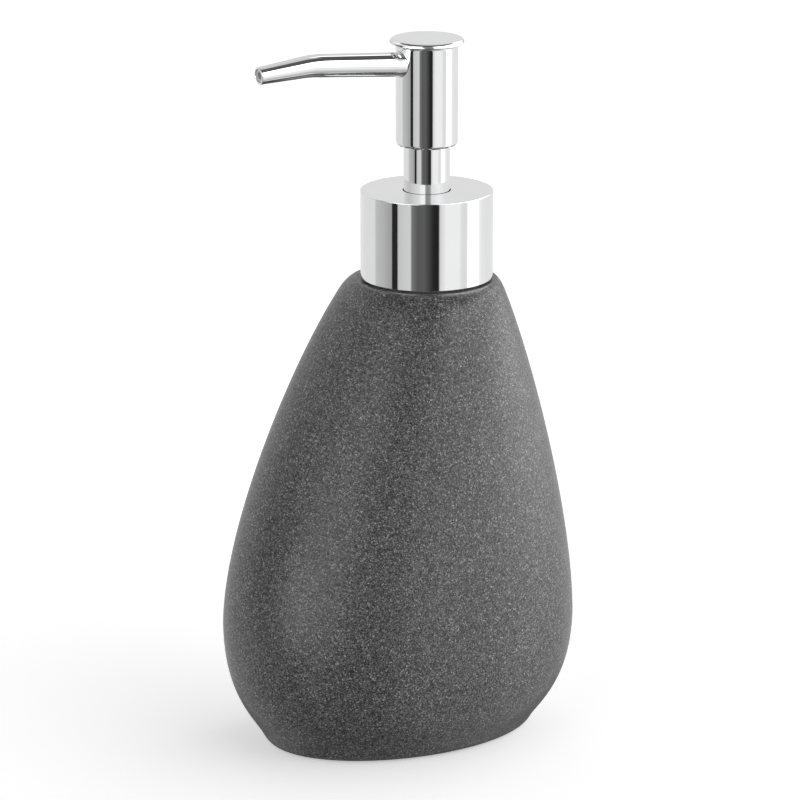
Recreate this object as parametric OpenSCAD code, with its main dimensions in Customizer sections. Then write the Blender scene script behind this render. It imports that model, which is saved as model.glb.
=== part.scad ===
// Soap pump dispenser: a pebble-shaped stone-effect bottle that carries a chromed lotion pump.
// Millimetres. +Z is up, along the pump's axis. The origin is where that axis meets the surface
// the bottle stands on. The spout points along -Y, the way the bottle's belly bulges furthest.
// A reach is [front, back, side]: how far an outline stands out from the pump's axis.

/* [Bottle] */
// Height of the bottle's flat top
bottle_h = 119; // [114:0.2:126]
// Reach of the outline where it meets the base
base_reach = [44.3, 28.2, 25]; // [22:0.1:46]
// Reach that the lower curve sets out towards
base_pull = [46, 28.5, 29]; // [24:0.5:50]
// Reach of the belly, the bottle's widest part
belly_reach = [54.3, 38, 36.5]; // [34:0.1:56]
// Reach that the upper curve comes in from
shoulder_pull = [35.8, 27.2, 29.6]; // [26:0.1:38]
// Reach at the shoulder, just under the flat top
shoulder_reach = [22.5, 19.8, 22.4]; // [19.6:0.1:24]
// Height of the belly
belly_z = 30.5; // [26:0.5:36]
// Height that the lower curve sets out towards
base_pull_z = 6.5; // [3:0.5:9]
// Height below the belly where the lower curve turns upright
belly_low_z = 10; // [8:0.5:14]
// Height above the belly where the upper curve starts to lean in
belly_high_z = 55.5; // [48:0.5:60]
// Height that the upper curve comes in from
shoulder_pull_z = 96; // [90:1:100]
// Drop from the flat top to the shoulder
shoulder_drop = 4; // [3:0.2:5]
// Squareness of the belly's section: 2 is an ellipse, more is squarer
squareness = 2.2; // [2:0.05:2.6]
// Wall thickness
wall = 5; // [3.5:0.5:6]
// Thickness of the pad under the base
pad_t = 1; // [0.8:0.1:2]
// How far the pad stands proud of the base
pad_proud = 0.3; // [0.2:0.1:0.6]

/* [Neck and collar] */
// Radius of the chromed collar
collar_r = 16.75; // [16.6:0.05:18]
// Height of the collar
collar_h = 22.4; // [21.8:0.1:24]
// Gap between the bottle's top and the collar
collar_gap = 0.4; // [0.3:0.1:0.8]
// Radius of the glued-in neck, without its thread
neck_r = 12.45; // [12.2:0.05:12.6]
// Rise of the screw thread in one turn
thread_pitch = 4.2; // [4:0.1:4.4]

/* [Head] */
// Radius of the head's barrel
head_r = 7.85; // [7.7:0.05:8.5]
// Height of the head, button included
head_h = 27.3; // [26:0.1:29]
// Gap between the collar and the raised head
head_gap = 11.6; // [11.5:0.1:13]
// Radius of the button on top
button_r = 9.4; // [9:0.1:11]
// Radius of the chromed guide sleeve that the head slides over
sleeve_r = 5.85; // [5.8:0.05:5.9]
// Travel of the head when it is pressed
stroke = 11.2; // [8:0.1:11.2]

/* [Spout] */
// Drop from the button's top to the spout's axis, measured at the pump's axis
spout_drop = 6.7; // [6.5:0.1:7.2]
// Reach of the spout's tip from the pump's axis
spout_reach = 47.7; // [42:0.1:60]
// Reach of the bend from the pump's axis
bend_reach = 33; // [28:0.5:36]
// Climb of the spout before its bend, in degrees
spout_climb = 5; // [2:0.5:7]
// Fall of the spout after its bend, in degrees
spout_fall = 4.2; // [0:0.1:20]
// Radius of the bend along the spout's axis
bend_r = 30; // [15:1:40]
// Outside radius of the spout at its root, its bend and its tip
spout_radii = [3.15, 2.92, 2.2]; // [1.8:0.01:3.2]
// Wall thickness of the spout
spout_wall = 0.55; // [0.4:0.05:0.7]

/* [Pump] */
// Outside radius of the pump's barrel
barrel_r = 8; // [7.6:0.1:9]
// Bore of the barrel, as a radius
bore_r = 6.5; // [6.3:0.05:6.6]
// Radius of the hollow stem
stem_r = 3.4; // [3.3:0.05:3.4]
// Radius of the dip tube
tube_r = 3.15; // [3:0.05:3.2]
// Radius of the steel check ball
ball_r = 2.5; // [2.4:0.05:2.5]
// Wire radius of the spring
wire_r = 0.45; // [0.35:0.05:0.5]
// Turns of the spring
spring_turns = 8; // [6:1:9]

/* [Hidden] */

// Facets: sides of turned parts, of the bottle's sections, of the swept tubes and of the wire
fine = 96;
bottle_sides = 64;
tube_sides = 28;
wire_sides = 8;

// Clearances: parts pushed together, parts that slide on each other, and parts that pass freely
push_gap = 0.05;
slide_gap = 0.1;
free_gap = 0.25;

// Heights of the collar and the head
collar_z = bottle_h + collar_gap;
collar_top = collar_z + collar_h;
head_z = collar_top + head_gap;
head_top = head_z + head_h;

// Bottle: cavity and seats
base_round = 2;
rim_r = 17.6;
neck_bore_r = 13.2;
floor_at = 0.44;
roof_at = 0.92;
floor_round = 4;
floor_fillet = 0.6;
pad_inset = 4;

// Collar, closure and the stack of flanges clamped between the closure and the neck
collar_wall = 1;
collar_lid = 1.1;
collar_edge = 0.15;
closure_r = collar_r - collar_wall - push_gap;
closure_top = collar_top - collar_lid;
closure_lid = 1.3;
closure_bore_r = 14;
closure_z = collar_z + 1.4;
sleeve_hole_r = sleeve_r + free_gap;
flange_r = 12.2;
chaplet_top = closure_top - closure_lid - push_gap;
chaplet_z = chaplet_top - 1.1;
housing_top = chaplet_z;
housing_flange = 1.4;
gasket_t = 1.2;
neck_top = housing_top - housing_flange - gasket_t;
neck_bore = 10;
insert_flange = [15.2, 1.2];
insert_z = bottle_h - 10.6;

// Screw thread: base width, tip width, height of the ridges, and turns
ridge_base = 2.4;
ridge_tip = 1.2;
neck_ridge_r = 13.7;
closure_ridge_r = 12.95;
ridge_turns = 1.3;
ridge_z = bottle_h + 3.3;

// Guide sleeve and the chimney inside it
sleeve_wall = 0.75;
sleeve_top = head_z + 2;
chimney_top = sleeve_top - 0.4;

// Head
head_bore_r = 6.2;
head_round = 1.1;
button_t = 1.2;
button_round = 1;
button_edge = 0.2;
flare = 0.9;
head_shell_top = head_top - button_t;
cap_spigot = 2.9;
core_z = sleeve_top + stroke + 0.8;
core_top = head_shell_top - cap_spigot - slide_gap;

// Spout: its axis crosses the pump's axis at this height
spout_z = head_top - spout_drop;
spout_root = head_bore_r + 0.35;
liner_root = 3.8;
liner_setback = 0.25;
liner_r = 1.6;
channel_r = 0.9;

// Pump: plug and piston at the stem's foot, spring, seat, ball and dip tube
stem_bore_r = 1.9;
stem_top = spout_z - 2.1;
skirt_z = housing_top - 6.65;
piston_top = skirt_z - slide_gap;
piston_h = 11.6;
lip_depth = 1.3;
plug_z = piston_top - piston_h - slide_gap;
plug_flange = [5.3, lip_depth];
stem_z = plug_z + plug_flange[1] + 2;
spring_z = 90;
seat_t = 1.4;
spring_r = 5;
spring_top = plug_z - push_gap;
seat_z = spring_z - seat_t;
ball_lift = 1.5;
chamber_r = 3.3;
inlet_r = 1.6;
ball_z = seat_z - ball_lift - slide_gap - ball_r;
cone_apex_z = ball_z - (ball_r + push_gap) * sqrt(2);
nipple_r = 4.9;
nipple_z = 64;
socket_top = 78;
tube_z = 9.3;

// ---- curves and skins ----

// A point on a cubic or a quadratic Bezier curve; the control points may be vectors
function cubic(a, b, c, d, t) =
    a * pow(1 - t, 3) + 3 * b * t * pow(1 - t, 2) + 3 * c * t * t * (1 - t) + d * pow(t, 3);
function quadratic(a, b, c, t) = a * pow(1 - t, 2) + 2 * b * t * (1 - t) + c * t * t;

// count + 1 even steps from a to b
function steps(a, b, count) = [for (i = [0 : count]) a + (b - a) * i / count];
function without_first(list) = [for (i = [1 : len(list) - 1]) list[i]];
function backwards(list) = [for (i = [len(list) - 1 : -1 : 0]) list[i]];

// An arc in the plane, from angle a to angle b
function arc(centre, r, a, b, count) = [for (t = steps(a, b, count)) centre + r * [cos(t), sin(t)]];

// A signed power, which squares up a circle's sine and cosine
function bulge(v, power) = sign(v) * pow(abs(v), power);

// A station is [front, back, side, height]: a reach and the height it is at
function station(reach, z) = [reach[0], reach[1], reach[2], z];
function shrink(s, by) = [s[0] - by, s[1] - by, s[2] - by, s[3]];

// The outline at one station, as count points on the plane
function outline(s, power, count) = [
    for (i = [0 : count - 1])
        let (t = 360 * i / count)
        [
            s[2] * bulge(cos(t), 2 / power),
            (s[1] - s[0]) / 2 + (s[1] + s[0]) / 2 * bulge(sin(t), 2 / power)
        ]
];
function ring(s, power) = [for (p = outline(s, power, bottle_sides)) [p[0], p[1], s[3]]];

// A closed skin over rings that each have the same number of points. The two ends are capped,
// or joined to each other where looped is true.
module skin(rings, looped = false) {
    sides = len(rings[0]);
    last = len(rings) - 1;
    points = [for (r = rings) for (p = r) p];
    walls = [
        for (i = [0 : looped ? last : last - 1])
            for (j = [0 : sides - 1])
                let (
                    k = (j + 1) % sides,
                    low = i * sides,
                    high = ((i + 1) % (last + 1)) * sides
                )
                each [[low + j, high + j, high + k], [low + j, high + k, low + k]]
    ];
    caps = looped ? [] : [
        [for (j = [0 : sides - 1]) j],
        [for (j = [0 : sides - 1]) last * sides + sides - 1 - j]
    ];
    polyhedron(points = points, faces = concat(walls, caps), convexity = 8);
}

// A turned part from its half profile, [radius, height] points
module turned(profile) {
    rotate_extrude($fn = fine) polygon(profile);
}

// A straight tube
module tube(outer, inner, z0, z1) {
    turned([[inner, z0], [outer, z0], [outer, z1], [inner, z1]]);
}

// A helical ridge that fades in and out at its ends. It stands from root_r to tip_r, outwards or
// inwards, and starts centred on height z.
module ridge(root_r, tip_r, z) {
    count = 32;
    fade = 5;
    way = sign(tip_r - root_r);
    skin([
        for (i = [0 : count])
            let (
                a = 360 * ridge_turns * i / count,
                h = z + thread_pitch * ridge_turns * i / count,
                full = min(1, (i + 1) / fade, (count - i + 1) / fade),
                tip = root_r + (tip_r - root_r) * full
            )
            [
                for (p = [
                    [root_r, -way * ridge_base / 2],
                    [root_r, way * ridge_base / 2],
                    [tip, way * ridge_tip / 2],
                    [tip, -way * ridge_tip / 2]
                ])
                    [p[0] * cos(a), p[0] * sin(a), h + p[1]]
            ]
    ]);
}

// ---- bottle ----

// The outline from the base up to the belly, from there to the shoulder, and over the rim
belly = station(belly_reach, belly_z);
shoulder = station(shoulder_reach, bottle_h - shoulder_drop);
shoulder_from = station(shoulder_pull, shoulder_pull_z);
base = station(base_reach, pad_proud);
function lower(t) =
    cubic(base, station(base_pull, base_pull_z), station(belly_reach, belly_low_z), belly, t);
function upper(t) = cubic(belly, station(belly_reach, belly_high_z), shoulder_from, shoulder, t);
rim_corner = shoulder + (shoulder - shoulder_from) * shoulder_drop / (shoulder[3] - shoulder_from[3]);
rim = [rim_r, rim_r, rim_r, bottle_h];
function over_rim(t) = quadratic(shoulder, rim_corner, rim, t);

// Squareness along each curve: round at the base and the shoulder, squarest at the belly
function lower_power(t) = 2 + (squareness - 2) * t;
function upper_power(t) = squareness + (2 - squareness) * t;

module bottle_body() {
    foot_at = 0.16;
    recess = shrink(base, pad_inset);
    recess_roof = station(recess, pad_t);
    neck = [neck_bore_r, neck_bore_r, neck_bore_r, bottle_h];
    roof = upper(roof_at);
    floor_edge = shrink(lower(floor_at), wall);
    color("dimgray")
        skin(concat(
            [ring(recess_roof, 2), ring(recess, 2)],
            [for (t = steps(0, 1, 4))
                ring(
                    quadratic(shrink(base, base_round), base, lower(foot_at), t),
                    lower_power(foot_at * t)
                )],
            [for (t = without_first(steps(foot_at, 1, 13))) ring(lower(t), lower_power(t))],
            [for (t = without_first(steps(0, 1, 15))) ring(upper(t), upper_power(t))],
            [for (t = without_first(steps(0, 1, 5))) ring(over_rim(t), 2)],
            [ring(neck, 2), ring(station(neck, roof[3]), 2)],
            [for (t = steps(roof_at, 0.1, 9)) ring(shrink(upper(t), wall), upper_power(t))],
            [for (t = steps(1, floor_at, 5)) ring(shrink(lower(t), wall), lower_power(t))],
            [ring(
                station(shrink(floor_edge, floor_round), floor_edge[3] - floor_fillet),
                lower_power(floor_at)
            )]
        ));
}

// The soft pad in the base's recess
module base_pad() {
    color("black")
        linear_extrude(pad_t)
            polygon(outline(shrink(base, pad_inset + free_gap), 2, bottle_sides));
}

// The threaded plastic neck, glued into the bottle
module neck_insert() {
    plug_r = neck_bore_r - slide_gap;
    groove = 0.5;
    groove_w = 1.5;
    glue_grooves = [insert_z + 3, insert_z + 6.5];
    flange_top = bottle_h + insert_flange[1];
    color("whitesmoke")
        union() {
            turned(concat(
                [[neck_bore, insert_z], [plug_r, insert_z]],
                [for (z = glue_grooves)
                    each [
                        [plug_r, z],
                        [plug_r - groove, z],
                        [plug_r - groove, z + groove_w],
                        [plug_r, z + groove_w]
                    ]
                ],
                [
                    [plug_r, bottle_h],
                    [insert_flange[0], bottle_h],
                    [insert_flange[0], flange_top],
                    [neck_r, flange_top],
                    [neck_r, neck_top - groove],
                    [neck_r - groove, neck_top],
                    [neck_bore, neck_top]
                ]
            ));
            ridge(neck_r - 0.4, neck_ridge_r, ridge_z);
        }
}

// ---- closure ----

// The screw cap hidden in the collar
module closure_cap() {
    color("gainsboro")
        union() {
            turned([
                [closure_bore_r, closure_z],
                [closure_r, closure_z],
                [closure_r, closure_top],
                [sleeve_hole_r, closure_top],
                [sleeve_hole_r, closure_top - closure_lid],
                [closure_bore_r, closure_top - closure_lid]
            ]);
            ridge(closure_bore_r + 0.4, closure_ridge_r, ridge_z + thread_pitch / 2);
        }
}

// The chromed shell pressed over the screw cap
module collar_shell() {
    color("silver")
        turned(concat(
            [
                [sleeve_hole_r, closure_top],
                [closure_r + push_gap, closure_top],
                [closure_r + push_gap, collar_z]
            ],
            arc([collar_r - 0.2, collar_z + 0.2], 0.2, -90, 0, 3),
            arc([collar_r - collar_edge, collar_top - collar_edge], collar_edge, 0, 90, 5),
            [[sleeve_hole_r, collar_top]]
        ));
}

// ---- fixed pump ----

// The sealing ring between the pump's flange and the neck
module gasket() {
    color("lightgray")
        tube(flange_r - 0.1, barrel_r + slide_gap, neck_top, neck_top + gasket_t);
}

// The barrel, with the ball's chamber and the dip tube's socket at its foot
module pump_housing() {
    vent_r = 0.6;
    vent_z = housing_top - 3.6;
    color("white")
        difference() {
            turned([
                [0, nipple_z],
                [nipple_r, nipple_z],
                [nipple_r, cone_apex_z + 1],
                [barrel_r, seat_z - 1],
                [barrel_r, housing_top - housing_flange],
                [flange_r, housing_top - housing_flange],
                [flange_r, housing_top],
                [0, housing_top]
            ]);
            // bore, ball chamber with its conical seat, inlet, and the dip tube's socket
            turned([
                [0, nipple_z - 1],
                [tube_r + push_gap, nipple_z - 1],
                [tube_r + push_gap, socket_top],
                [inlet_r, socket_top],
                [inlet_r, cone_apex_z + inlet_r],
                [chamber_r, cone_apex_z + chamber_r],
                [chamber_r, seat_z],
                [bore_r, seat_z],
                [bore_r, housing_top + 1],
                [0, housing_top + 1]
            ]);
            translate([0, 0, vent_z])
                rotate([0, 90, 0])
                    cylinder(r = vent_r, h = barrel_r + 1, $fn = 24);
        }
}

// The ring that shuts the barrel and guides the stem, with the chimney above it
module chaplet() {
    color("white")
        turned([
            [stem_r + slide_gap, skirt_z],
            [bore_r - slide_gap, skirt_z],
            [bore_r - slide_gap, chaplet_z],
            [flange_r, chaplet_z],
            [flange_r, chaplet_top],
            [sleeve_r - sleeve_wall - push_gap, chaplet_top],
            [sleeve_r - sleeve_wall - push_gap, chimney_top],
            [stem_r + slide_gap, chimney_top]
        ]);
}

// The fixed chromed sleeve over the chimney
module guide_sleeve() {
    inner = sleeve_r - sleeve_wall;
    edge = 0.3;
    color("silver")
        turned(concat(
            [[inner, chaplet_top], [sleeve_r, chaplet_top]],
            arc([sleeve_r - edge, sleeve_top - edge], edge, 0, 90, 4),
            [[inner, sleeve_top]]
        ));
}

// The suction tube, cut off at a slant so that it can't seal against the floor
module dip_tube() {
    color("ghostwhite")
        difference() {
            tube(tube_r, tube_r - 0.95, tube_z, socket_top - slide_gap);
            translate([0, 0, tube_z])
                rotate([35, 0, 0])
                    translate([-tube_r * 2, -tube_r * 2, -tube_r * 4])
                        cube([tube_r * 4, tube_r * 4, tube_r * 4]);
        }
}

// The ring with crossed bars that carries the spring and keeps the ball in
module spring_seat() {
    bar_w = 1.1;
    opening_r = 3.4;
    color("white")
        union() {
            tube(bore_r - slide_gap, opening_r, seat_z, spring_z);
            for (a = [0, 90])
                rotate([0, 0, a])
                    translate([-opening_r - 0.5, -bar_w / 2, seat_z])
                        cube([2 * opening_r + 1, bar_w, seat_t]);
        }
}

// The return spring, with its end turns closed
module spring() {
    per_turn = 18;
    low = spring_z + wire_r + push_gap;
    high = spring_top - wire_r;
    closed = 1.25;
    close_pitch = 2 * wire_r + 0.06;
    free_turns = spring_turns - 2 * closed;
    open_pitch = (high - low - 2 * closed * close_pitch) / free_turns;
    function wire_z(turn) =
        turn < closed ? low + turn * close_pitch
        : turn > spring_turns - closed ? high - (spring_turns - turn) * close_pitch
        : low + closed * close_pitch + (turn - closed) * open_pitch;
    color("lightsteelblue")
        skin([
            for (i = [0 : spring_turns * per_turn])
                let (a = 360 * i / per_turn)
                [
                    for (j = [0 : wire_sides - 1])
                        let (
                            b = -360 * j / wire_sides,
                            r = spring_r + wire_r * cos(b)
                        )
                        [r * cos(a), r * sin(a), wire_z(i / per_turn) + wire_r * sin(b)]
                ]
        ]);
}

// ---- moving pump ----

// The double-lipped seal that slides in the barrel
module piston_seal() {
    inner = stem_r + push_gap;
    hub_r = 5.1;
    lip_r = bore_r - push_gap;
    lip_w = 0.75;
    lip_foot = 0.95;
    lip_edge = 0.8;
    lip_h = 2.8;
    // the lower half's profile, as [radius, height above the lower lip]; the upper half mirrors it
    half_profile = [
        [inner, lip_depth],
        [lip_r - lip_foot, lip_depth],
        [lip_r - lip_w, 0],
        [lip_r, 0],
        [lip_r, lip_edge],
        [hub_r, lip_h]
    ];
    color("white")
        turned(concat(
            [for (p = half_profile) [p[0], piston_top - piston_h + p[1]]],
            [for (p = backwards(half_profile)) [p[0], piston_top - p[1]]]
        ));
}

// The hollow stem between the head and the plug
module piston_stem() {
    color("white")
        tube(stem_r, stem_bore_r, stem_z, stem_top);
}

// The plug in the stem's foot: its flange closes the seal's lower lip and bears on the spring,
// and its slotted pin lets the soap by
module valve_plug() {
    spigot_r = 3;
    spigot_h = 7;
    bevel = 0.8;
    pin_r = stem_bore_r - push_gap;
    pin_top = stem_z + 3;
    slot_w = 1.1;
    slot_z = plug_z + plug_flange[1] + 0.3;
    color("white")
        difference() {
            turned([
                [0, plug_z - spigot_h],
                [spigot_r - bevel, plug_z - spigot_h],
                [spigot_r, plug_z - spigot_h + bevel],
                [spigot_r, plug_z],
                [plug_flange[0], plug_z],
                [plug_flange[0], plug_z + plug_flange[1] - bevel],
                [plug_flange[0] - bevel, plug_z + plug_flange[1]],
                [pin_r, plug_z + plug_flange[1]],
                [pin_r, pin_top],
                [0, pin_top]
            ]);
            for (a = [0, 90])
                rotate([0, 0, a])
                    translate([-stem_r, -slot_w / 2, slot_z])
                        cube([2 * stem_r, slot_w, pin_top - slot_z + 1]);
        }
}

// The steel ball that shuts the inlet
module check_ball() {
    color("lightgray")
        translate([0, 0, ball_z])
            sphere(r = ball_r, $fn = 48);
}

// ---- head ----

// Puts its children on the spout's axis: +Z runs out along the spout before its bend
module along_spout() {
    translate([0, 0, spout_z])
        rotate([90 - spout_climb, 0, 0])
            children();
}

// The chromed barrel of the head, which flares out under the button
module head_shell() {
    color("silver")
        difference() {
            turned(concat(
                [[head_bore_r, head_z]],
                arc([head_r - head_round, head_z + head_round], head_round, -90, 0, 8),
                arc([head_r + flare, head_shell_top - flare], flare, 180, 90, 8),
                [[head_bore_r, head_shell_top]]
            ));
            along_spout()
                cylinder(r = spout_radii[0] + push_gap, h = 2 * head_r, $fn = 64);
        }
}

// The button: a disc with a spigot that is pushed into the barrel
module head_cap() {
    spigot_r = head_bore_r - push_gap;
    color("silver")
        turned(concat(
            [
                [0, head_shell_top - cap_spigot],
                [spigot_r, head_shell_top - cap_spigot],
                [spigot_r, head_shell_top]
            ],
            arc([button_r - button_edge, head_shell_top + button_edge], button_edge, -90, 0, 4),
            arc([button_r - button_round, head_top - button_round], button_round, 0, 90, 12),
            [[0, head_top]]
        ));
}

// The plastic core that joins the stem to the spout's liner
module head_core() {
    core_r = head_bore_r - push_gap;
    socket_r = stem_r + push_gap;
    color("whitesmoke")
        difference() {
            translate([0, 0, core_z])
                cylinder(r = core_r, h = core_top - core_z, $fn = fine);
            translate([0, 0, core_z - 1])
                cylinder(r = socket_r, h = stem_top - core_z + 1, $fn = fine);
            translate([0, 0, core_z])
                cylinder(r = stem_bore_r, h = spout_z + channel_r - core_z, $fn = 48);
            along_spout()
                cylinder(r = channel_r, h = head_r, $fn = 48);
            along_spout()
                translate([0, 0, liner_root])
                    cylinder(r = liner_r + push_gap, h = head_r, $fn = 48);
        }
}

// The spout's axis in the Y-Z plane. Its three stretches are a straight climb, the bend and a
// straight fall; at is the length along it from the pump's axis.
bend_angle = spout_climb + spout_fall;
bend_from = bend_reach / cos(spout_climb) - bend_r * tan(bend_angle / 2);
bend_length = bend_r * bend_angle * PI / 180;
fall_length = (spout_reach - bend_reach) / cos(spout_fall) - bend_r * tan(bend_angle / 2);
spout_length = bend_from + bend_length + fall_length;
function slope(at) =
    at < bend_from ? spout_climb
    : at > bend_from + bend_length ? -spout_fall
    : spout_climb - bend_angle * (at - bend_from) / bend_length;
bend_centre = [bend_from * cos(spout_climb), spout_z + bend_from * sin(spout_climb)]
    + bend_r * [sin(spout_climb), -cos(spout_climb)];
function axis_point(at) =
    at < bend_from ? [at * cos(spout_climb), spout_z + at * sin(spout_climb)]
    : bend_centre + bend_r * [-sin(slope(at)), cos(slope(at))]
        + max(0, at - bend_from - bend_length) * [cos(spout_fall), -sin(spout_fall)];

// Outside radius of the spout at a length along it
function spout_r(at) =
    at < bend_from ? spout_radii[0] + (spout_radii[1] - spout_radii[0]) * at / bend_from
    : spout_radii[1]
        + (spout_radii[2] - spout_radii[1]) * (at - bend_from) / (spout_length - bend_from);

// One circle round the spout's axis
function loop_at(at, r, sides) =
    let (p = axis_point(at), a = slope(at))
    [
        for (i = [0 : sides - 1])
            let (t = 360 * i / sides)
            [r * cos(t), -p[0] + r * sin(t) * sin(a), p[1] + r * sin(t) * cos(a)]
    ];

// Lengths along the spout where it gets a circle: few on the straights, many round the bend
function stops(from, to) = concat(
    steps(from, bend_from, 3),
    without_first(steps(bend_from, bend_from + bend_length, 6)),
    without_first(steps(bend_from + bend_length, to, 3))
);

// The chromed spout, with rounded lips at its open tip
module spout() {
    lip = 0.15;
    tip = spout_length;
    places = stops(spout_root, tip - lip);
    color("silver")
        skin(concat(
            [for (at = places) loop_at(at, spout_r(at), tube_sides)],
            [loop_at(tip, spout_r(tip) - lip, tube_sides)],
            [loop_at(tip, spout_r(tip) - spout_wall + lip, tube_sides)],
            [for (at = backwards(places)) loop_at(at, spout_r(at) - spout_wall, tube_sides)]
        ), looped = true);
}

// The plastic tube inside the spout, which the soap runs through
module spout_liner() {
    places = stops(liner_root + slide_gap, spout_length - liner_setback);
    color("gray")
        skin(concat(
            [for (at = places) loop_at(at, liner_r, tube_sides)],
            [for (at = backwards(places)) loop_at(at, channel_r, tube_sides)]
        ), looped = true);
}

bottle_body();
neck_insert();
base_pad();
pump_housing();
chaplet();
guide_sleeve();
gasket();
dip_tube();
spring();
spring_seat();
closure_cap();
collar_shell();
piston_seal();
head_shell();
head_cap();
head_core();
spout();
spout_liner();
piston_stem();
valve_plug();
check_ball();
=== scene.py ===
"""Soap pump dispenser: the looks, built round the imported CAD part.

Metres throughout, in the part's own frame: +Z runs up the pump's axis and the spout points along -Y.
The bottle, the spout, its liner and the spring are remade here with finer meshes than the CAD's, and
every other CAD node keeps its shape. Each piece gets a procedural material.
"""

import math

import bpy
import numpy as np
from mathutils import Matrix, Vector


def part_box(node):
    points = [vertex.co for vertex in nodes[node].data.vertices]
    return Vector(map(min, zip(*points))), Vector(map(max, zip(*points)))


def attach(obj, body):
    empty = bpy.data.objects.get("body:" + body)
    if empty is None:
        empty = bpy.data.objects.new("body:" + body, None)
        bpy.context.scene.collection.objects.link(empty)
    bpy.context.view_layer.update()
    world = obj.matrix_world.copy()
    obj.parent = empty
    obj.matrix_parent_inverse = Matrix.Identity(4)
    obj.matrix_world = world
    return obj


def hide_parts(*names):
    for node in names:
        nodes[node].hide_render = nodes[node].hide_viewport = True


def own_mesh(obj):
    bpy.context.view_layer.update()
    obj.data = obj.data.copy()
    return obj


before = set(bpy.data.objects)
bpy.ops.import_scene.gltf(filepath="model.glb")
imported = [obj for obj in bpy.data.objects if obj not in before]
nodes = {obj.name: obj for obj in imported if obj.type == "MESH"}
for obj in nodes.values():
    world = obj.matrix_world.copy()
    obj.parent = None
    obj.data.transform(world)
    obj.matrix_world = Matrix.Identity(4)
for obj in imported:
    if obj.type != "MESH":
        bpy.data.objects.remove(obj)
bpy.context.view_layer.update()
scene = bpy.context.scene

MM = 0.001
DEG = math.pi / 180

# ---------------------------------------------------------------------------------------------
# Sizes in millimetres, the same driving values as the CAD's. A reach is (front, back, side).
# ---------------------------------------------------------------------------------------------

BOTTLE_H = 119
BASE_Z = 0.3
BASE_REACH = (44.3, 28.2, 25)
BASE_PULL, BASE_PULL_Z = (46, 28.5, 29), 6.5
BELLY_REACH, BELLY_Z = (54.3, 38, 36.5), 30.5
BELLY_LOW_Z, BELLY_HIGH_Z = 10, 55.5
SHOULDER_PULL, SHOULDER_PULL_Z = (35.8, 27.2, 29.6), 96
SHOULDER_REACH, SHOULDER_DROP = (22.5, 19.8, 22.4), 4
SQUARENESS = 2.2
WALL = 5
BASE_ROUND = 2
PAD_T, PAD_INSET = 1, 4
RIM_R, NECK_BORE_R = 17.6, 13.2
FLOOR_AT, ROOF_AT = 0.44, 0.92
FLOOR_ROUND, FLOOR_FILLET = 4, 0.6
FOOT_AT = 0.16

HEAD_TOP = 180.7
SPOUT_DROP, SPOUT_REACH, BEND_REACH, BEND_R = 6.7, 47.7, 33, 30
SPOUT_CLIMB, SPOUT_FALL = 5 * DEG, 4.2 * DEG
SPOUT_ROOT = 6.55
SPOUT_ROOT_R, SPOUT_BEND_R, SPOUT_TIP_R = 3.15, 2.92, 2.2
SPOUT_WALL, SPOUT_LIP = 0.55, 0.15
LINER_ROOT, LINER_SETBACK = 3.9, 0.25
LINER_R, CHANNEL_R, LINER_LIP = 1.6, 0.9, 0.1

SPRING_R, WIRE_R, SPRING_TURNS = 5, 0.45, 8
CLOSED_TURNS, COIL_GAP = 1.25, 0.06


# ---------------------------------------------------------------------------------------------
# Mesh helpers
# ---------------------------------------------------------------------------------------------

def cubic(a, b, c, d, t):
    a, b, c, d = (np.array(p, float) for p in (a, b, c, d))
    return a * (1 - t) ** 3 + 3 * b * t * (1 - t) ** 2 + 3 * c * t * t * (1 - t) + d * t ** 3


def quadratic(a, b, c, t):
    a, b, c = (np.array(p, float) for p in (a, b, c))
    return a * (1 - t) ** 2 + 2 * b * t * (1 - t) + c * t * t


def steps(a, b, count):
    """count + 1 even steps from a to b."""
    return [a + (b - a) * i / count for i in range(count + 1)]


def skin(name, rings, looped=False, sharp_from=35 * DEG):
    """A mesh over rings of points (millimetres), each with the same number of points, shaded smooth
    but for the edges sharper than sharp_from. Its ends are capped, or joined where looped is true."""
    sides, count = len(rings[0]), len(rings)
    points = [tuple(MM * c for c in p) for ring in rings for p in ring]
    faces = []
    for i in range(count if looped else count - 1):
        low, high = i * sides, (i + 1) % count * sides
        for j in range(sides):
            k = (j + 1) % sides
            faces.append((low + j, low + k, high + k, high + j))
    if not looped:
        faces.append(tuple(range(sides - 1, -1, -1)))
        faces.append(tuple(range((count - 1) * sides, count * sides)))
    mesh = bpy.data.meshes.new(name)
    mesh.from_pydata(points, [], faces)
    mesh.update()
    mesh.shade_smooth()
    mesh.set_sharp_from_angle(angle=sharp_from)
    piece = bpy.data.objects.new(name, mesh)
    scene.collection.objects.link(piece)
    return piece


# ---------------------------------------------------------------------------------------------
# Bottle
# ---------------------------------------------------------------------------------------------

def station(reach, z):
    return (*reach[:3], z)


def shrink(at, by):
    return (at[0] - by, at[1] - by, at[2] - by, at[3])


def outline(at, power, sides=256):
    """The bottle's section at one station: an ellipse squared up by a power above 2."""
    front, back, side, z = at
    ring = []
    for i in range(sides):
        c, s = math.cos(2 * math.pi * i / sides), math.sin(2 * math.pi * i / sides)
        x = side * math.copysign(abs(c) ** (2 / power), c)
        y = (back - front) / 2 + (back + front) / 2 * math.copysign(abs(s) ** (2 / power), s)
        ring.append((x, y, z))
    return ring


BASE = station(BASE_REACH, BASE_Z)
BELLY = station(BELLY_REACH, BELLY_Z)
SHOULDER = station(SHOULDER_REACH, BOTTLE_H - SHOULDER_DROP)
SHOULDER_FROM = station(SHOULDER_PULL, SHOULDER_PULL_Z)
RIM = (RIM_R, RIM_R, RIM_R, BOTTLE_H)


def lower(t):
    return cubic(BASE, station(BASE_PULL, BASE_PULL_Z), station(BELLY_REACH, BELLY_LOW_Z), BELLY, t)


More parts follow.
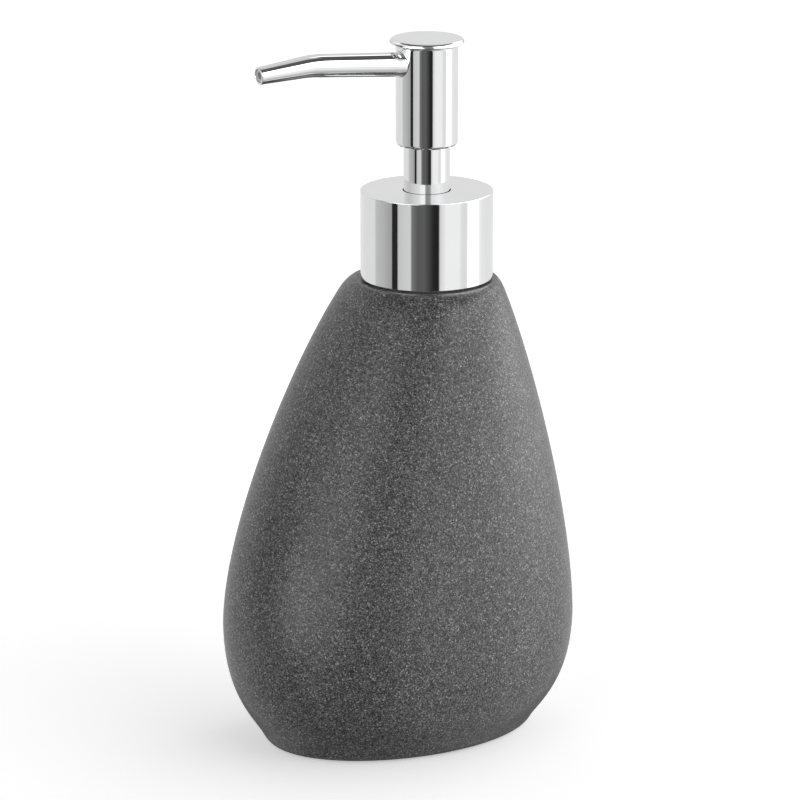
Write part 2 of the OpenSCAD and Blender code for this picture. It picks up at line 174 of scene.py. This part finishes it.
def upper(t):
    return cubic(BELLY, station(BELLY_REACH, BELLY_HIGH_Z), SHOULDER_FROM, SHOULDER, t)


def over_rim(t):
    rise = SHOULDER_DROP / (SHOULDER[3] - SHOULDER_FROM[3])
    corner = [s + (s - f) * rise for s, f in zip(SHOULDER, SHOULDER_FROM)]
    return quadratic(SHOULDER, corner, RIM, t)


def lower_power(t):
    return 2 + (SQUARENESS - 2) * t


def upper_power(t):
    return SQUARENESS + (2 - SQUARENESS) * t


def make_bottle():
    recess = shrink(BASE, PAD_INSET)
    neck = (NECK_BORE_R, NECK_BORE_R, NECK_BORE_R, BOTTLE_H)
    roof = upper(ROOF_AT)
    floor_edge = shrink(lower(FLOOR_AT), WALL)
    floor = station(shrink(floor_edge, FLOOR_ROUND), floor_edge[3] - FLOOR_FILLET)
    rings = [outline(station(recess, PAD_T), 2), outline(recess, 2)]
    rings += [
        outline(quadratic(shrink(BASE, BASE_ROUND), BASE, lower(FOOT_AT), t), lower_power(FOOT_AT * t))
        for t in steps(0, 1, 12)
    ]
    rings += [outline(lower(t), lower_power(t)) for t in steps(FOOT_AT, 1, 36)[1:]]
    rings += [outline(upper(t), upper_power(t)) for t in steps(0, 1, 72)[1:]]
    rings += [outline(over_rim(t), 2) for t in steps(0, 1, 16)[1:]]
    rings += [outline(neck, 2), outline(station(neck, roof[3]), 2)]
    rings += [outline(shrink(upper(t), WALL), upper_power(t)) for t in steps(ROOF_AT, 0, 36)]
    rings += [outline(shrink(lower(t), WALL), lower_power(t)) for t in steps(1, FLOOR_AT, 12)[1:]]
    rings.append(outline(floor, lower_power(FLOOR_AT)))
    return skin("bottle", rings)


# ---------------------------------------------------------------------------------------------
# Spout and its liner: rings round one axis in the plane x = 0
# ---------------------------------------------------------------------------------------------

SPOUT_Z = HEAD_TOP - SPOUT_DROP
BEND = SPOUT_CLIMB + SPOUT_FALL
BEND_FROM = BEND_REACH / math.cos(SPOUT_CLIMB) - BEND_R * math.tan(BEND / 2)
BEND_LENGTH = BEND_R * BEND
FALL_LENGTH = (SPOUT_REACH - BEND_REACH) / math.cos(SPOUT_FALL) - BEND_R * math.tan(BEND / 2)
SPOUT_LENGTH = BEND_FROM + BEND_LENGTH + FALL_LENGTH


def slope(at):
    return SPOUT_CLIMB - BEND * min(1, max(0, (at - BEND_FROM) / BEND_LENGTH))


def axis_point(at):
    """How far out and how high the spout's axis is, at a length along it."""
    c, s = math.cos(SPOUT_CLIMB), math.sin(SPOUT_CLIMB)
    if at < BEND_FROM:
        return at * c, SPOUT_Z + at * s
    a = slope(at)
    past = max(0, at - BEND_FROM - BEND_LENGTH)
    out = BEND_FROM * c + BEND_R * (s - math.sin(a)) + past * math.cos(a)
    up = SPOUT_Z + BEND_FROM * s + BEND_R * (math.cos(a) - c) + past * math.sin(a)
    return out, up


def spout_r(at):
    if at < BEND_FROM:
        return SPOUT_ROOT_R + (SPOUT_BEND_R - SPOUT_ROOT_R) * at / BEND_FROM
    share = (at - BEND_FROM) / (SPOUT_LENGTH - BEND_FROM)
    return SPOUT_BEND_R + (SPOUT_TIP_R - SPOUT_BEND_R) * share


def loop_at(at, r, sides=72):
    (out, up), a = axis_point(at), slope(at)
    ring = []
    for i in range(sides):
        t = 2 * math.pi * i / sides
        lean = r * math.sin(t)
        ring.append((r * math.cos(t), -out + lean * math.sin(a), up + lean * math.cos(a)))
    return ring


def lengths(start, end):
    """Lengths along the spout from start to end, close together in its bend."""
    bend_end = BEND_FROM + BEND_LENGTH
    straight, curve = steps(start, BEND_FROM, 16), steps(BEND_FROM, bend_end, 24)
    return straight + curve[1:] + steps(bend_end, end, 12)[1:]


def rounded_lips(at, outer, inner, r, count=5):
    """Rings over an open tube's end that ends at the length at, with both of its edges rounded."""
    turns = [math.pi / 2 * i / count for i in range(1, count + 1)]
    over = [loop_at(at - r + r * math.sin(t), outer - r + r * math.cos(t)) for t in turns]
    back = [loop_at(at - r + r * math.cos(t), inner + r - r * math.sin(t)) for t in turns]
    return over + [loop_at(at, inner + r)] + back


def make_spout():
    places = lengths(SPOUT_ROOT, SPOUT_LENGTH - SPOUT_LIP)
    rings = [loop_at(at, spout_r(at)) for at in places]
    rings += rounded_lips(SPOUT_LENGTH, SPOUT_TIP_R, SPOUT_TIP_R - SPOUT_WALL, SPOUT_LIP)
    rings += [loop_at(at, spout_r(at) - SPOUT_WALL) for at in reversed(places)]
    return skin("spout_tube", rings, looped=True)


def make_liner():
    end = SPOUT_LENGTH - LINER_SETBACK
    places = lengths(LINER_ROOT, end - LINER_LIP)
    rings = [loop_at(at, LINER_R) for at in places]
    rings += rounded_lips(end, LINER_R, CHANNEL_R, LINER_LIP)
    rings += [loop_at(at, CHANNEL_R) for at in reversed(places)]
    return skin("spout_inner_tube", rings, looped=True)


# ---------------------------------------------------------------------------------------------
# Spring: a round wire whose end turns are closed
# ---------------------------------------------------------------------------------------------

def make_spring(per_turn=48, sides=16):
    low, high = (corner.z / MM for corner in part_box("spring"))
    low, high = low + WIRE_R, high - WIRE_R
    close_pitch = 2 * WIRE_R + COIL_GAP
    open_pitch = (high - low - 2 * CLOSED_TURNS * close_pitch) / (SPRING_TURNS - 2 * CLOSED_TURNS)

    def wire_z(turn):
        if turn < CLOSED_TURNS:
            return low + turn * close_pitch
        if turn > SPRING_TURNS - CLOSED_TURNS:
            return high - (SPRING_TURNS - turn) * close_pitch
        return low + CLOSED_TURNS * close_pitch + (turn - CLOSED_TURNS) * open_pitch

    rings = []
    for i in range(SPRING_TURNS * per_turn + 1):
        a, z = 2 * math.pi * i / per_turn, wire_z(i / per_turn)
        ring = []
        for j in range(sides):
            b = 2 * math.pi * j / sides
            r = SPRING_R + WIRE_R * math.cos(b)
            ring.append((r * math.cos(a), r * math.sin(a), z + WIRE_R * math.sin(b)))
        rings.append(ring)
    return skin("return_spring", rings)


# ---------------------------------------------------------------------------------------------
# Materials
# ---------------------------------------------------------------------------------------------

def linear(level):
    """A grey level from 0 to 255 as screens show it, as a linear value."""
    c = level / 255
    return c / 12.92 if c <= 0.04045 else ((c + 0.055) / 1.055) ** 2.4


class Nodes:
    """Short ways to fill the node tree of one material or world."""

    def __init__(self, owner):
        owner.use_nodes = True
        self.tree = owner.node_tree
        self.tree.nodes.clear()

    def add(self, kind, **settings):
        node = self.tree.nodes.new(kind)
        for setting, value in settings.items():
            setattr(node, setting, value)
        return node

    def link(self, source, target):
        self.tree.links.new(source, target)

    def feed(self, sockets, values):
        """Gives each socket its number, or links it to its source."""
        for socket, value in zip(sockets, values):
            if isinstance(value, (int, float)):
                socket.default_value = value
            else:
                self.link(value, socket)

    def maths(self, operation, a, b=0):
        node = self.add("ShaderNodeMath", operation=operation)
        self.feed(node.inputs, (a, b))
        return node.outputs["Value"]

    def mix(self, share, a, b, blend="MIX"):
        """Colour a with the given share of b over it. The node's colour sockets are inputs 6 and 7 and
        output 2."""
        node = self.add("ShaderNodeMix", data_type="RGBA", blend_type=blend)
        self.feed((node.inputs[0], node.inputs[6], node.inputs[7]), (share, a, b))
        return node.outputs[2]

    def ramp(self, source, *stops):
        """Maps a value from 0 to 1 through (position, value or colour) stops."""
        node = self.add("ShaderNodeValToRGB")
        points = node.color_ramp.elements
        while len(points) < len(stops):
            points.new(0.5)
        for point, (at, value) in zip(points, stops):
            point.position = at
            point.color = (*value, 1) if isinstance(value, tuple) else (value, value, value, 1)
        self.link(source, node.inputs["Fac"])
        return node.outputs["Color"]


class Shader(Nodes):
    """A material with one Principled shader, whose patterns follow the object's own coordinates."""

    def __init__(self, name, **values):
        self.material = bpy.data.materials.new(name)
        super().__init__(self.material)
        self.shader = self.add("ShaderNodeBsdfPrincipled")
        output = self.add("ShaderNodeOutputMaterial")
        self.link(self.shader.outputs["BSDF"], output.inputs["Surface"])
        for socket, value in values.items():
            self.shader.inputs[socket.replace("_", " ")].default_value = value
        self.place = self.add("ShaderNodeTexCoord").outputs["Object"]

    def stretched(self, x, y, z):
        """The object's coordinates, scaled along each axis."""
        node = self.add("ShaderNodeMapping")
        node.inputs["Scale"].default_value = (x, y, z)
        self.link(self.place, node.inputs["Vector"])
        return node.outputs["Vector"]

    def noise(self, size, detail=2.0, roughness=0.5, place=None):
        """Noise from 0 to 1 with blobs about size across, in metres."""
        node = self.add("ShaderNodeTexNoise")
        node.inputs["Scale"].default_value = 1 / size
        node.inputs["Detail"].default_value = detail
        node.inputs["Roughness"].default_value = roughness
        self.link(place or self.place, node.inputs["Vector"])
        return node.outputs["Fac"]

    def grains(self, size):
        """A random value from 0 to 1 for each of the grains, which are about size across."""
        cells = self.add("ShaderNodeTexVoronoi")
        cells.inputs["Scale"].default_value = 1 / size
        self.link(self.place, cells.inputs["Vector"])
        value = self.add("ShaderNodeSeparateColor")
        self.link(cells.outputs["Color"], value.inputs["Color"])
        return value.outputs["Red"]

    def span(self, source, low, high):
        """Maps a value's 0 to 1 onto low to high."""
        return self.maths("ADD", self.maths("MULTIPLY", source, high - low), low)

    def colour(self, source):
        self.link(source, self.shader.inputs["Base Color"])

    def roughness(self, source):
        self.link(source, self.shader.inputs["Roughness"])

    def bump(self, *layers):
        """Bump from (height source, depth in metres) layers."""
        normal = None
        for height, depth in layers:
            node = self.add("ShaderNodeBump")
            node.inputs["Distance"].default_value = depth
            self.link(height, node.inputs["Height"])
            if normal is not None:
                self.link(normal, node.inputs["Normal"])
            normal = node.outputs["Normal"]
        self.link(normal, self.shader.inputs["Normal"])


def grey(level):
    return (linear(level),) * 3


def stone_effect():
    """Satin cast stone: a dark grey body full of fine pale and dark grains."""
    s = Shader("stone_effect", IOR=1.5)
    fine = s.grains(0.25 * MM)
    coarse = s.grains(0.55 * MM)
    cloud = s.noise(0.6 * MM, detail=3, roughness=0.6)
    body = s.ramp(
        fine,
        (0.0, grey(8)), (0.25, grey(56)), (0.5, grey(79)), (0.75, grey(93)), (0.92, grey(121)),
        (1.0, grey(164)),
    )
    clumps = s.ramp(coarse, (0.0, 0.5), (0.25, 0.98), (0.75, 1.02), (1.0, 1.4))
    tone = s.ramp(cloud, (0.3, 0.92), (0.7, 1.08))
    blotch = s.ramp(s.noise(14 * MM), (0.3, 0.96), (0.7, 1.04))
    shade = s.maths("MULTIPLY", s.maths("MULTIPLY", clumps, tone), blotch)
    s.colour(s.mix(1, body, shade, blend="MULTIPLY"))
    s.roughness(s.span(cloud, 0.28, 0.4))
    s.bump((fine, 0.006 * MM), (cloud, 0.015 * MM))
    return s.material


def bright_chrome():
    """Bright plating: near-mirror, with faint smears and the slight waviness of plated plastic."""
    s = Shader("bright_chrome", Metallic=1.0)
    smear = s.noise(9 * MM, detail=3, roughness=0.6)
    s.colour(s.ramp(smear, (0.2, (0.91, 0.915, 0.92)), (0.8, (0.95, 0.95, 0.955))))
    fine = s.noise(0.5 * MM, place=s.stretched(1, 1, 0.15))
    s.roughness(s.maths("ADD", s.span(smear, 0.02, 0.05), s.span(fine, 0.0, 0.02)))
    s.bump((s.noise(6 * MM, detail=1), 0.006 * MM))
    return s.material


def moulded_plastic(name, level, roughness, subsurface=0.0, texture=0.005, tint=(1, 1, 1)):
    """Moulded plastic: a faint cloud in its colour, an even sheen and a fine spark-eroded texture,
    whose depth is in millimetres."""
    s = Shader(name, IOR=1.49, Subsurface_Weight=subsurface, Subsurface_Scale=0.5 * MM)
    cloud = s.noise(5 * MM, detail=3)
    base = linear(level)
    low, high = (tuple(base * share * t for t in tint) for share in (0.93, 1.05))
    s.colour(s.ramp(cloud, (0.25, low), (0.75, high)))
    s.roughness(s.span(cloud, roughness - 0.05, roughness + 0.05))
    s.bump((s.noise(0.25 * MM), texture * MM))
    return s.material


def foam_pad():
    """Closed-cell foam: near black, with small open pores."""
    s = Shader("foam_pad", IOR=1.45)
    pores = s.grains(0.5 * MM)
    cloud = s.noise(0.9 * MM, detail=3)
    s.colour(s.ramp(cloud, (0.2, grey(26)), (0.8, grey(50))))
    s.roughness(s.span(cloud, 0.75, 0.92))
    s.bump((pores, 0.05 * MM), (cloud, 0.08 * MM))
    return s.material


def steel(name, level, roughness, drawn):
    """Drawn or ground steel: fine marks run along the pull, over a faint stain."""
    s = Shader(name, Metallic=1.0)
    stain = s.noise(3 * MM, detail=3)
    marks = s.noise(0.12 * MM, place=s.stretched(*drawn))
    s.colour(s.ramp(stain, (0.3, grey(level - 14)), (0.7, grey(level + 8))))
    s.roughness(s.span(marks, roughness - 0.08, roughness + 0.1))
    s.bump((marks, 0.004 * MM))
    return s.material


def dress(piece, material):
    """Puts the material on every slot of a piece, CAD nodes included."""
    if not piece.data.materials:
        piece.data.materials.append(material)
    for i in range(len(piece.data.materials)):
        piece.data.materials[i] = material


chrome = bright_chrome()
white = moulded_plastic("white_plastic", 226, 0.42, subsurface=0.1)
seal = moulded_plastic("seal_plastic", 214, 0.5, subsurface=0.2, texture=0.008)
steel_wire = steel("spring_steel", 205, 0.3, drawn=(1, 1, 6))

MATERIALS = {
    "base_pad": foam_pad(),
    "neck_insert": white,
    "pump_housing": white,
    "chaplet": white,
    "spring_seat": white,
    "head_core": white,
    "piston_stem": white,
    "valve_plug": white,
    "piston_seal": seal,
    "closure_cap": moulded_plastic("black_plastic", 38, 0.45, texture=0.01),
    "gasket": moulded_plastic("gasket_rubber", 190, 0.7, subsurface=0.1, texture=0.02),
    "dip_tube": moulded_plastic("clear_plastic", 232, 0.25, subsurface=0.6, tint=(0.98, 1.0, 1.0)),
    "collar_shell": chrome,
    "guide_sleeve": chrome,
    "head_shell": chrome,
    "head_cap": chrome,
    "check_ball": steel("ball_steel", 214, 0.16, drawn=(1, 1, 1)),
}
for node, material in MATERIALS.items():
    dress(nodes[node], material)

# ---------------------------------------------------------------------------------------------
# Pieces that stand for CAD nodes
# ---------------------------------------------------------------------------------------------

bottle = make_bottle()
dress(bottle, stone_effect())
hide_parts("bottle_body")
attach(bottle, "bottle")

spout = make_spout()
dress(spout, chrome)
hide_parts("spout")
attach(spout, "head")

liner = make_liner()
dress(liner, moulded_plastic("grey_plastic", 205, 0.35))
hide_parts("spout_liner")
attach(liner, "head")

spring = make_spring()
dress(spring, steel_wire)
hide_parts("spring")
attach(spring, "pump_core")
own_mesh(spring)

# ---------------------------------------------------------------------------------------------
# Floor, light and camera
# ---------------------------------------------------------------------------------------------

CAMERA_AZIMUTH = 60 * DEG
CAMERA_OUT = 1.2
CAMERA_HEIGHT = 0.4206
AIM = Vector((-0.00336, -0.00582, 0.08676))
LENS, SENSOR_WIDTH = 219.94, 36
FLOOR_HALF = 3.0
FLOOR_GLOW = 0.4


def make_floor():
    """A pale table that glows a little, so that it is near white. The object neither mirrors it nor
    takes light from it."""
    mesh = bpy.data.meshes.new("floor")
    r = FLOOR_HALF
    mesh.from_pydata([(-r, -r, 0), (r, -r, 0), (r, r, 0), (-r, r, 0)], [], [(0, 1, 2, 3)])
    floor = bpy.data.objects.new("floor", mesh)
    scene.collection.objects.link(floor)
    s = Shader("floor", Roughness=0.9, Emission_Color=(1, 1, 1, 1), Emission_Strength=FLOOR_GLOW)
    s.colour(s.ramp(s.noise(0.4), (0.3, (0.9,) * 3), (0.7, (0.93,) * 3)))
    mesh.materials.append(s.material)
    floor.visible_glossy = floor.visible_diffuse = floor.visible_shadow = False


# The studio's light as (azimuth, radiance) stops, with azimuths in degrees from the camera's side and
# positive to its right: tall boxes on the right, a lower one on the left, dark cloths round the camera
# and pale walls. HORIZON is the room below eye level, which upright chrome mirrors. Over it come the
# low boxes, a dimmer band that the flat chrome tops mirror, the high boxes and the ceiling.

HORIZON = [
    (-180, 0.85), (-130, 0.74), (-103, 0.74), (-98, 0.53), (-80, 0.46), (-63, 0.35), (-62, 0.02),
    (-52, 0.02), (-51, 0.55), (-40, 0.62), (-28, 0.65), (-26, 0.19), (-15, 0.1), (-5, 0.11), (5, 0.055),
    (12, 0.02), (21, 0.015), (23, 0.66), (34, 0.9), (60, 0.9), (66, 0.75), (74, 0.75), (79, 1.5),
    (98, 1.5), (104, 0.95), (112, 0.84), (128, 0.8), (150, 0.8), (180, 0.85),
]
LOW_BOXES = [
    (-180, 0.75), (-165, 0.75), (-145, 0.6), (-125, 0.86), (-105, 0.1), (-92, 0.05), (-80, 0.05),
    (-70, 1.1), (-60, 3.0), (-48, 3.7), (-38, 2.5), (-28, 1.8), (-18, 2.5), (-10, 1.2), (-5, 0.12),
    (20, 0.12), (23, 1.3), (35, 1.3), (50, 1.4), (65, 2.1), (80, 2.4), (95, 3.6), (115, 3.05),
    (135, 1.6), (150, 0.55), (165, 0.75), (180, 0.75),
]
BAND = [
    (-180, 0.75), (-140, 0.7), (-97, 0.56), (-60, 0.7), (-36, 0.8), (-30, 0.95), (-10, 1.0), (-4, 0.3),
    (8, 0.28), (18, 0.35), (24, 0.8), (41, 0.85), (61, 0.98), (80, 0.9), (100, 0.85), (150, 0.8),
    (180, 0.75),
]
HIGH_BOXES = [
    (-180, 0.68), (-150, 0.75), (-120, 1.0), (-100, 0.75), (-60, 0.9), (-45, 1.5), (-20, 1.6),
    (-12, 0.2), (18, 0.2), (23, 1.2), (35, 2.0), (50, 2.9), (80, 2.9), (95, 2.1), (120, 2.5),
    (140, 2.45), (160, 0.68), (180, 0.68),
]
CEILING = [
    (-180, 0.6), (-150, 0.5), (-130, 0.1), (112, 0.1), (122, 0.55), (150, 0.6), (180, 0.6),
]
# Shares of two dark parts by azimuth: a gap over the boxes, and a strip low down behind the object
GAP = [(-180, 0), (-150, 0), (-140, 1), (142, 1), (147, 0), (180, 0)]
BEHIND = [(-180, 1), (-152, 1), (-148, 0), (148, 0), (152, 1), (180, 1)]
GAP_LEVEL, BEHIND_LEVEL, TABLE_LEVEL = 0.09, 0.12, 0.08


def make_world():
    """Lights the scene with the studio, and shows the camera a white backdrop."""
    world = bpy.data.worlds.new("studio")
    scene.world = world
    s = Nodes(world)

    direction = s.add("ShaderNodeSeparateXYZ")
    s.link(s.add("ShaderNodeTexCoord").outputs["Generated"], direction.inputs["Vector"])
    x, y, z = (direction.outputs[axis] for axis in "XYZ")
    turn = s.maths("SUBTRACT", s.maths("ARCTAN2", y, x), CAMERA_AZIMUTH - math.pi / 2)
    turn = s.maths("FRACT", s.maths("ADD", s.maths("DIVIDE", turn, 2 * math.pi), 0.5))
    height = s.maths("ADD", s.maths("MULTIPLY", z, 0.5), 0.5)

    def around(stops):
        """A value by azimuth in degrees, through (azimuth, value) stops."""
        return s.ramp(turn, *(((at + 180) / 360, value) for at, value in stops))

    def over(*stops):
        """A share by elevation in degrees, through (elevation, share) stops."""
        return s.ramp(height, *(((math.sin(e * DEG) + 1) / 2, share) for e, share in stops))

    def even(value):
        return around([(-180, value), (180, value)])

    room = s.mix(over((-75, 0), (-62, 0.4), (-22, 1)), even(TABLE_LEVEL), around(HORIZON))
    strip = s.maths("MULTIPLY", around(BEHIND), over((-66, 0), (-62, 1), (-26, 1), (-22, 0)))
    gap = s.maths("MULTIPLY", around(GAP), over((42, 0), (45, 1)))
    layers = (
        (strip, even(BEHIND_LEVEL)),
        (over((-8, 0), (-6, 1)), around(LOW_BOXES)),
        (over((7.5, 0), (9.5, 1)), around(BAND)),
        (over((16.5, 0), (18.5, 1)), around(HIGH_BOXES)),
        (gap, even(GAP_LEVEL)),
        (over((60, 0), (64, 1)), around(CEILING)),
    )
    for share, light in layers:
        room = s.mix(share, room, light)

    lit = s.add("ShaderNodeBackground")
    s.link(room, lit.inputs["Color"])
    backdrop = s.add("ShaderNodeBackground")
    backdrop.inputs["Color"].default_value = (1, 1, 1, 1)
    chosen = s.add("ShaderNodeMixShader")
    s.link(s.add("ShaderNodeLightPath").outputs["Is Camera Ray"], chosen.inputs["Fac"])
    s.link(lit.outputs["Background"], chosen.inputs[1])
    s.link(backdrop.outputs["Background"], chosen.inputs[2])
    s.link(chosen.outputs["Shader"], s.add("ShaderNodeOutputWorld").inputs["Surface"])


def make_camera():
    data = bpy.data.cameras.new("camera")
    data.lens = LENS
    data.sensor_width = SENSOR_WIDTH
    data.clip_start, data.clip_end = 0.05, 20
    camera = bpy.data.objects.new("camera", data)
    scene.collection.objects.link(camera)
    camera.location = (
        CAMERA_OUT * math.sin(CAMERA_AZIMUTH),
        -CAMERA_OUT * math.cos(CAMERA_AZIMUTH),
        CAMERA_HEIGHT,
    )
    camera.rotation_euler = (AIM - camera.location).to_track_quat("-Z", "Y").to_euler()
    scene.camera = camera


make_floor()
make_world()
make_camera()
scene.view_settings.view_transform = "Standard"
scene.view_settings.look = "None"
